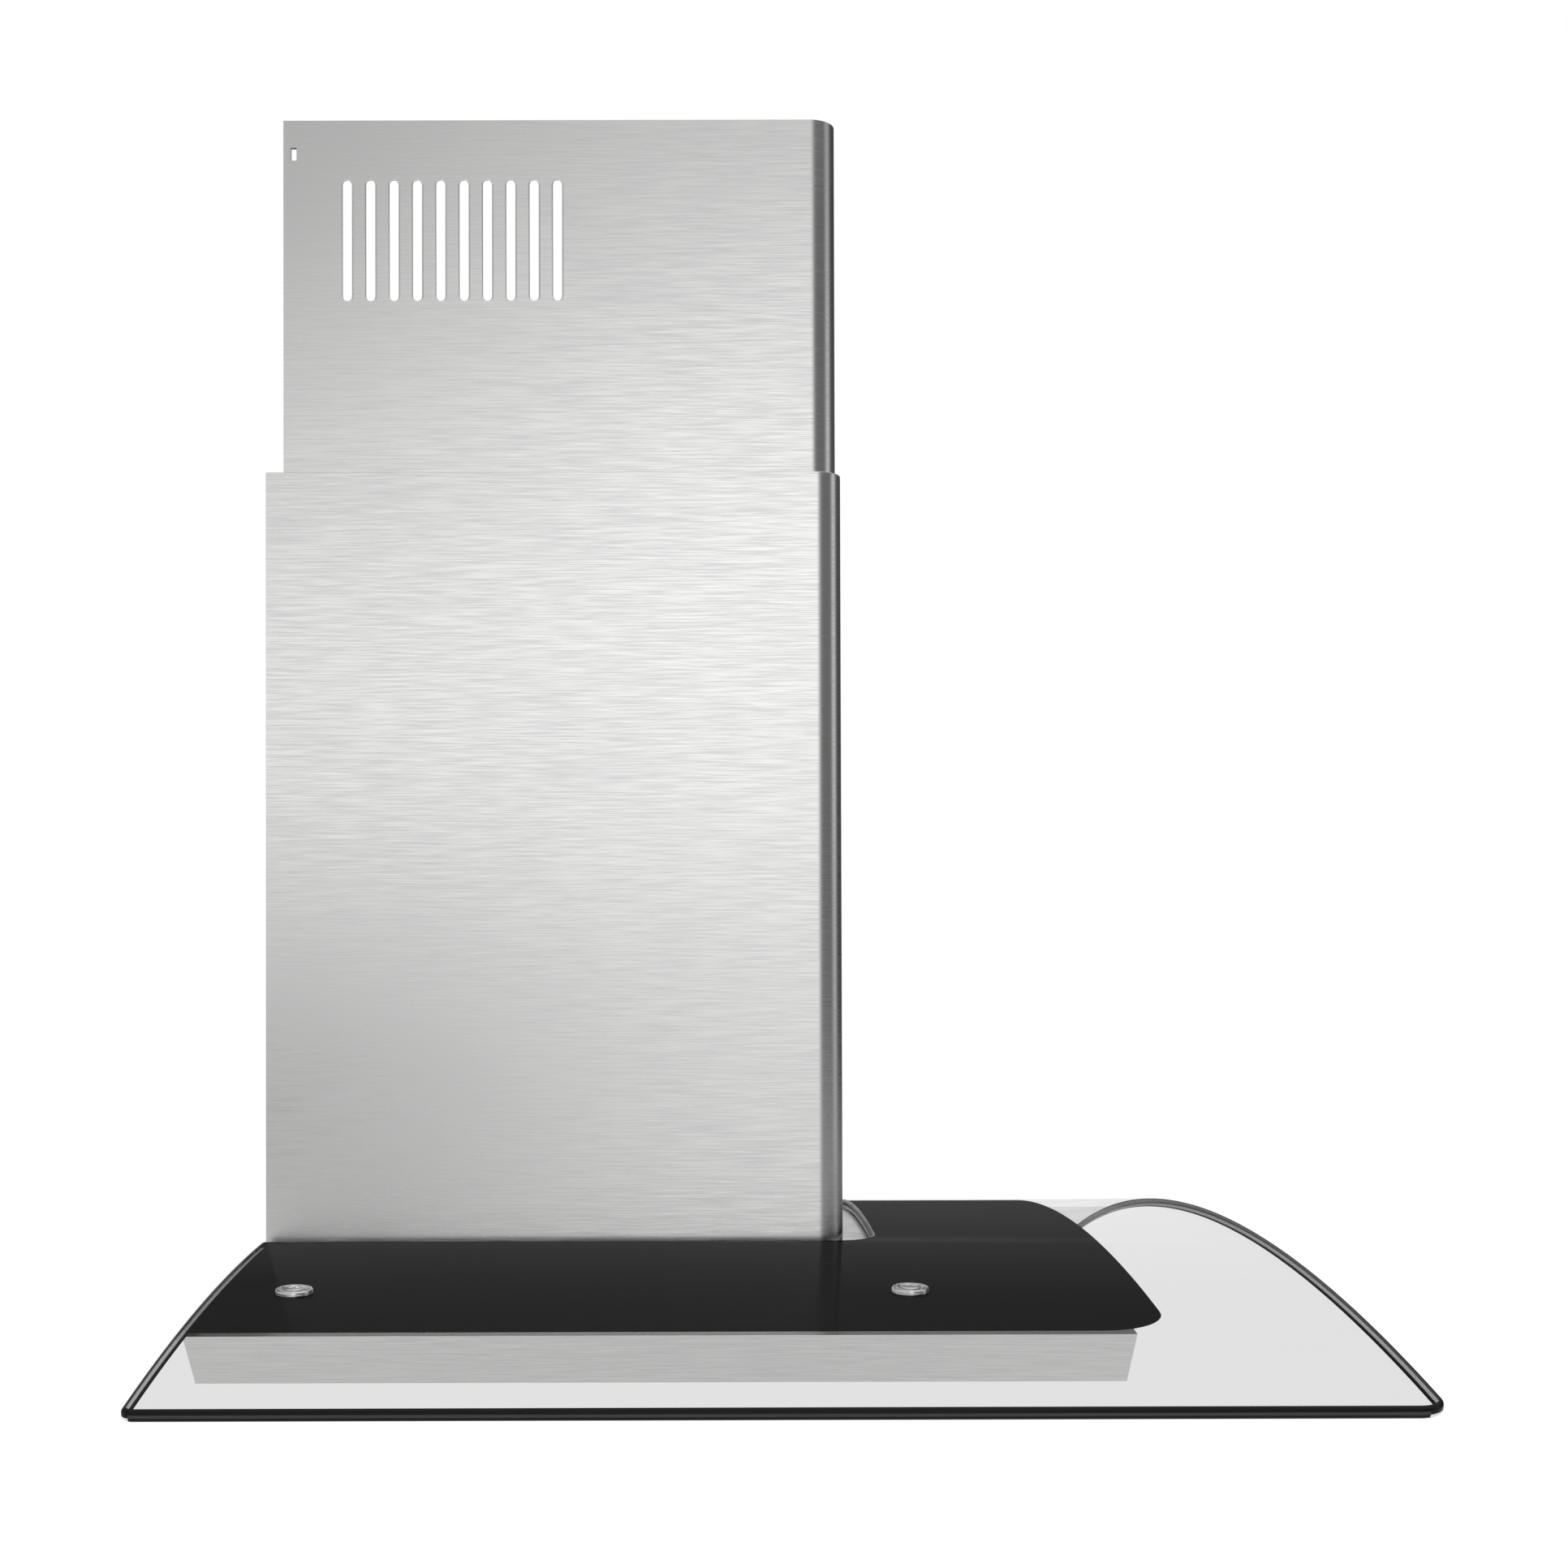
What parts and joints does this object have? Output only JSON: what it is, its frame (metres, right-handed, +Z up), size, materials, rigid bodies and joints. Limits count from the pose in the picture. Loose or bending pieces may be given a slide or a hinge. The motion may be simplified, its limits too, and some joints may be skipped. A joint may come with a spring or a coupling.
{
  "type": "wall-mount chimney range hood",
  "caption": "Chimney range hood for a wall, with an arched clear glass canopy over a slim brushed steel body, grease filters, lamps, push-buttons and a telescoping duct cover.",
  "frame": {"origin": "centre of the four wall bolts, on the wall plane behind the hood", "axes": "+X to the right of a person facing the wall, +Y into the wall, so the cook stands at -Y, +Z up"},
  "size_m": [0.914, 0.5, 0.615],
  "materials": {
    "steel_brushed": "horizontal brushed grain, satin",
    "glass_clear": "clear toughened glass with polished edges",
    "enamel_black": "black ceramic print under the glass",
    "steel_zinc": "zinc-plated sheet",
    "steel_bright": "bright turned steel",
    "aluminium_mesh": "layered expanded mesh",
    "aluminium_frame": "rolled aluminium, satin",
    "plastic_black": "moulded black plastic",
    "plastic_grey": "moulded grey plastic",
    "plastic_white": "moulded white plastic",
    "lens_frosted": "frosted lamp lens",
    "button_steel": "satin metal button",
    "board_green": "printed circuit board",
    "rubber_black": "soft black rubber",
    "motor_paint": "dark paint"
  },
  "bodies": {
    "hood": {"glass_canopy": "glass_clear", "black_enamel": "enamel_black", "hood_body": "steel_brushed", "glass_washers": "steel_bright", "glass_gaskets": "rubber_black", "glass_nuts": "steel_zinc", "glass_screws": "steel_bright", "underside_panel": "steel_brushed", "control_trim": "steel_brushed", "switch_board": "board_green", "board_spacers": "plastic_white", "lower_chimney": "steel_brushed", "slide_pads": "plastic_white", "blower_feet": "steel_zinc", "blower_screws": "steel_zinc", "chimney_clips": "steel_zinc", "clip_screws": "steel_zinc", "blower_box": "steel_zinc", "scroll_housing": "plastic_black", "motor": "motor_paint", "motor_bracket": "steel_zinc", "capacitor": "plastic_white", "capacitor_clip": "steel_zinc", "junction_box": "steel_zinc", "junction_cover": "steel_zinc", "cable_gland": "plastic_black", "duct_collar": "plastic_grey", "damper_pins": "steel_bright", "wall_bracket": "steel_zinc", "hanging_hooks": "steel_zinc", "lamp_left_trim": "steel_bright", "lamp_left_lens": "lens_frosted", "lamp_left_holder": "plastic_black", "lamp_right_trim": "steel_bright", "lamp_right_lens": "lens_frosted", "lamp_right_holder": "plastic_black"},
    "upper_cover": {"upper_chimney": "steel_brushed", "chimney_bracket": "steel_zinc"},
    "fan": {"impeller": "plastic_black", "fan_shaft": "steel_bright"},
    "flap_left": {"damper_flap_left": "plastic_black"},
    "flap_right": {"damper_flap_right": "plastic_black"},
    "filter_left": {"filter_left_frame": "aluminium_frame", "filter_left_mesh": "aluminium_mesh"},
    "latch_left": {"filter_left_latch": "plastic_black"},
    "filter_right": {"filter_right_frame": "aluminium_frame", "filter_right_mesh": "aluminium_mesh"},
    "latch_right": {"filter_right_latch": "plastic_black"},
    "push_1": {"button_1": "button_steel"},
    "push_2": {"button_2": "button_steel"},
    "push_3": {"button_3": "button_steel"},
    "push_4": {"button_4": "button_steel"},
    "push_5": {"button_5": "button_steel"}
  },
  "joints": [
    {"name": "cover_slide", "type": "slide", "parent": "hood", "child": "upper_cover", "axis": [0, 0, 1], "range_m": [-0.18, 0.1]},
    {"name": "fan_spin", "type": "hinge", "parent": "hood", "child": "fan", "pos_m": [0, -0.112, -0.01], "axis": [1, 0, 0], "continuous": true},
    {"name": "flap_left_swing", "type": "hinge", "parent": "hood", "child": "flap_left", "pos_m": [-0.0032, -0.15, 0.146], "axis": [0, 1, 0], "range_deg": [0, 80]},
    {"name": "flap_right_swing", "type": "hinge", "parent": "hood", "child": "flap_right", "pos_m": [0.0032, -0.15, 0.146], "axis": [0, -1, 0], "range_deg": [0, 80]},
    {"name": "filter_left_swing", "type": "hinge", "parent": "hood", "child": "filter_left", "pos_m": [-0.13, -0.0745, -0.154], "axis": [1, 0, 0], "range_deg": [0, 80]},
    {"name": "latch_left_slide", "type": "slide", "parent": "filter_left", "child": "latch_left", "axis": [0, 1, 0], "range_m": [0, 0.004], "stiffness_N_per_m": 300, "springref_m": -0.002},
    {"name": "filter_right_swing", "type": "hinge", "parent": "hood", "child": "filter_right", "pos_m": [0.13, -0.0745, -0.154], "axis": [1, 0, 0], "range_deg": [0, 80]},
    {"name": "latch_right_slide", "type": "slide", "parent": "filter_right", "child": "latch_right", "axis": [0, 1, 0], "range_m": [0, 0.004], "stiffness_N_per_m": 300, "springref_m": -0.002},
    {"name": "push_1_travel", "type": "slide", "parent": "hood", "child": "push_1", "axis": [0, 1, 0], "range_m": [0, 0.002], "stiffness_N_per_m": 600, "springref_m": -0.001},
    {"name": "push_2_travel", "type": "slide", "parent": "hood", "child": "push_2", "axis": [0, 1, 0], "range_m": [0, 0.002], "stiffness_N_per_m": 600, "springref_m": -0.001},
    {"name": "push_3_travel", "type": "slide", "parent": "hood", "child": "push_3", "axis": [0, 1, 0], "range_m": [0, 0.002], "stiffness_N_per_m": 600, "springref_m": -0.001},
    {"name": "push_4_travel", "type": "slide", "parent": "hood", "child": "push_4", "axis": [0, 1, 0], "range_m": [0, 0.002], "stiffness_N_per_m": 600, "springref_m": -0.001},
    {"name": "push_5_travel", "type": "slide", "parent": "hood", "child": "push_5", "axis": [0, 1, 0], "range_m": [0, 0.002], "stiffness_N_per_m": 600, "springref_m": -0.001}
  ]
}
